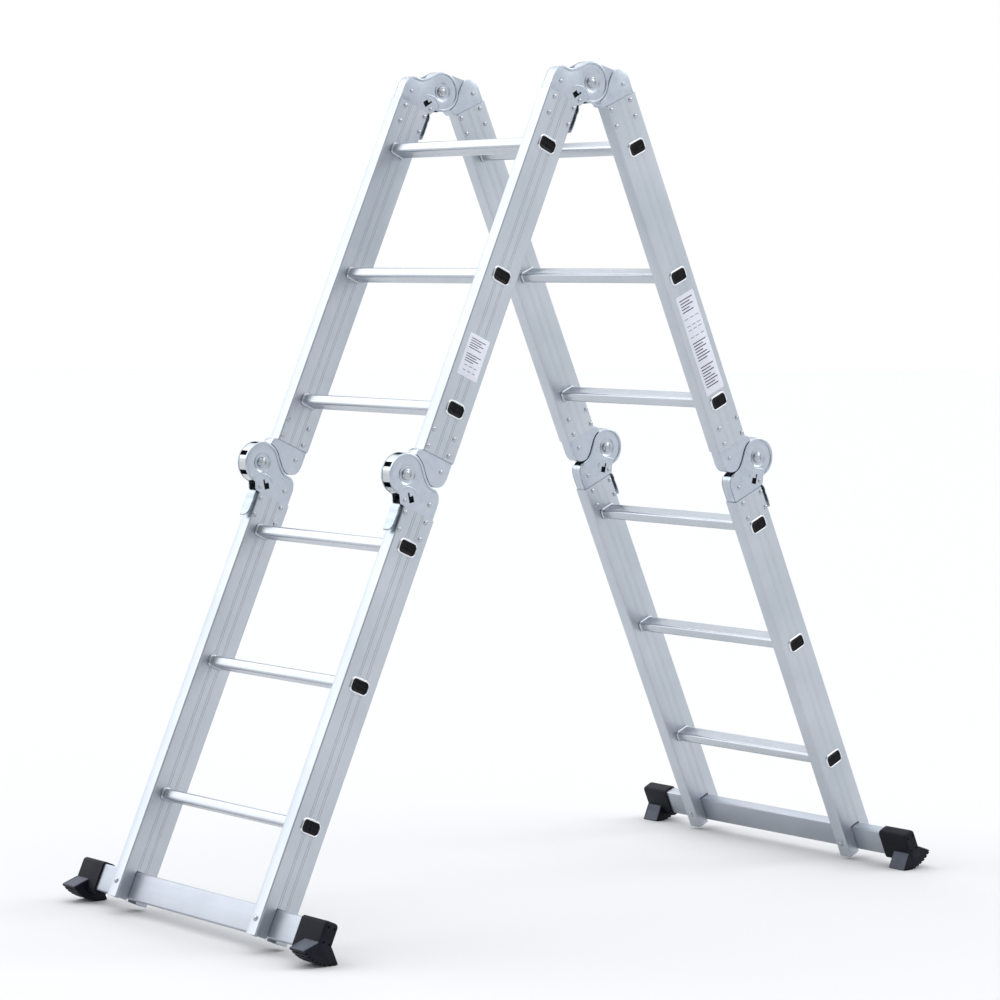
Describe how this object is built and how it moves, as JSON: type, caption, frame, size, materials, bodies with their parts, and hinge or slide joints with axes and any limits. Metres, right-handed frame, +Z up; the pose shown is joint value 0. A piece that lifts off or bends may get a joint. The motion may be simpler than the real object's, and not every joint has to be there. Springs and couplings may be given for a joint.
{
  "type": "multi position ladder",
  "caption": "Folding aluminium multi position ladder standing as an A, with locking hinges, release levers, stabiliser bars and rubber feet.",
  "frame": {"origin": "on the floor, under the middle of the standing ladder", "axes": "+Z up, +X from the left leg to the right leg, along the spread of the A, +Y along the rungs from the near stiles to the far ones"},
  "size_m": [1.463, 0.74, 1.496],
  "materials": {
    "stile_aluminium": "satin extruded, faint draw lines",
    "rung_aluminium": "satin extruded, grooved tread",
    "bar_aluminium": "satin extruded",
    "zinc_plate": "bright zinc plated pressing",
    "drum_alloy": "bright, machined rim",
    "lever_steel": "bright zinc plated pressing",
    "fastener_steel": "bright rivet and bolt heads",
    "foot_rubber": "matte moulded rubber"
  },
  "bodies": {
    "section_2": {"left_far_notched_drum": "drum_alloy", "left_near_notched_drum": "drum_alloy", "section_2_far_stile": "stile_aluminium", "section_2_near_stile": "stile_aluminium", "section_2_rung_1": "rung_aluminium", "section_2_rung_2": "rung_aluminium", "section_2_rung_3": "rung_aluminium", "top_far_inner_lock_plate": "zinc_plate", "top_far_outer_lock_plate": "zinc_plate", "top_far_pivot_rivet": "fastener_steel", "top_near_inner_lock_plate": "zinc_plate", "top_near_outer_lock_plate": "zinc_plate", "top_near_pivot_rivet": "fastener_steel"},
    "section_1": {"left_far_bar_bolt": "fastener_steel", "left_far_foot": "foot_rubber", "left_far_inner_lock_plate": "zinc_plate", "left_far_outer_lock_plate": "zinc_plate", "left_far_pivot_rivet": "fastener_steel", "left_near_bar_bolt": "fastener_steel", "left_near_foot": "foot_rubber", "left_near_inner_lock_plate": "zinc_plate", "left_near_outer_lock_plate": "zinc_plate", "left_near_pivot_rivet": "fastener_steel", "left_stabiliser_bar": "bar_aluminium", "section_1_far_stile": "stile_aluminium", "section_1_near_stile": "stile_aluminium", "section_1_rung_1": "rung_aluminium", "section_1_rung_2": "rung_aluminium", "section_1_rung_3": "rung_aluminium"},
    "section_3": {"right_far_notched_drum": "drum_alloy", "right_near_notched_drum": "drum_alloy", "section_3_far_stile": "stile_aluminium", "section_3_near_stile": "stile_aluminium", "section_3_rung_1": "rung_aluminium", "section_3_rung_2": "rung_aluminium", "section_3_rung_3": "rung_aluminium", "top_far_notched_drum": "drum_alloy", "top_near_notched_drum": "drum_alloy"},
    "section_4": {"right_far_bar_bolt": "fastener_steel", "right_far_foot": "foot_rubber", "right_far_inner_lock_plate": "zinc_plate", "right_far_outer_lock_plate": "zinc_plate", "right_far_pivot_rivet": "fastener_steel", "right_near_bar_bolt": "fastener_steel", "right_near_foot": "foot_rubber", "right_near_inner_lock_plate": "zinc_plate", "right_near_outer_lock_plate": "zinc_plate", "right_near_pivot_rivet": "fastener_steel", "right_stabiliser_bar": "bar_aluminium", "section_4_far_stile": "stile_aluminium", "section_4_near_stile": "stile_aluminium", "section_4_rung_1": "rung_aluminium", "section_4_rung_2": "rung_aluminium", "section_4_rung_3": "rung_aluminium"},
    "left_far_lever": {"left_far_release_lever": "lever_steel"},
    "left_near_lever": {"left_near_release_lever": "lever_steel"},
    "right_far_lever": {"right_far_release_lever": "lever_steel"},
    "right_near_lever": {"right_near_release_lever": "lever_steel"},
    "top_far_lever": {"top_far_release_lever": "lever_steel"},
    "top_near_lever": {"top_near_release_lever": "lever_steel"}
  },
  "joints": [
    {"name": "top_hinge", "type": "hinge", "parent": "section_2", "child": "section_3", "pos_m": [0, 0, 1.459], "axis": [0, -1, 0], "range_deg": [-48, 132]},
    {"name": "left_mid_hinge", "type": "hinge", "parent": "section_2", "child": "section_1", "pos_m": [-0.41024, 0, 0.78345], "axis": [0, -1, 0], "range_deg": [-180, 0]},
    {"name": "right_mid_hinge", "type": "hinge", "parent": "section_3", "child": "section_4", "pos_m": [0.41024, 0, 0.78345], "axis": [0, 1, 0], "range_deg": [-180, 0]},
    {"name": "top_near_lever_pivot", "type": "hinge", "parent": "section_2", "child": "top_near_lever", "pos_m": [-0.02896, -0.2127, 1.42592], "axis": [0, -1, 0], "range_deg": [0, 10], "stiffness_Nm_per_rad": 1, "springref_deg": -28.65},
    {"name": "top_far_lever_pivot", "type": "hinge", "parent": "section_2", "child": "top_far_lever", "pos_m": [-0.02896, 0.2127, 1.42592], "axis": [0, -1, 0], "range_deg": [0, 10], "stiffness_Nm_per_rad": 1, "springref_deg": -28.65},
    {"name": "left_near_lever_pivot", "type": "hinge", "parent": "section_1", "child": "left_near_lever", "pos_m": [-0.41544, -0.2127, 0.7398], "axis": [0, 1, 0], "range_deg": [0, 10], "stiffness_Nm_per_rad": 1, "springref_deg": -28.65},
    {"name": "left_far_lever_pivot", "type": "hinge", "parent": "section_1", "child": "left_far_lever", "pos_m": [-0.41544, 0.2127, 0.7398], "axis": [0, 1, 0], "range_deg": [0, 10], "stiffness_Nm_per_rad": 1, "springref_deg": -28.65},
    {"name": "right_near_lever_pivot", "type": "hinge", "parent": "section_4", "child": "right_near_lever", "pos_m": [0.41544, -0.2127, 0.7398], "axis": [0, -1, 0], "range_deg": [0, 10], "stiffness_Nm_per_rad": 1, "springref_deg": -28.65},
    {"name": "right_far_lever_pivot", "type": "hinge", "parent": "section_4", "child": "right_far_lever", "pos_m": [0.41544, 0.2127, 0.7398], "axis": [0, -1, 0], "range_deg": [0, 10], "stiffness_Nm_per_rad": 1, "springref_deg": -28.65}
  ]
}
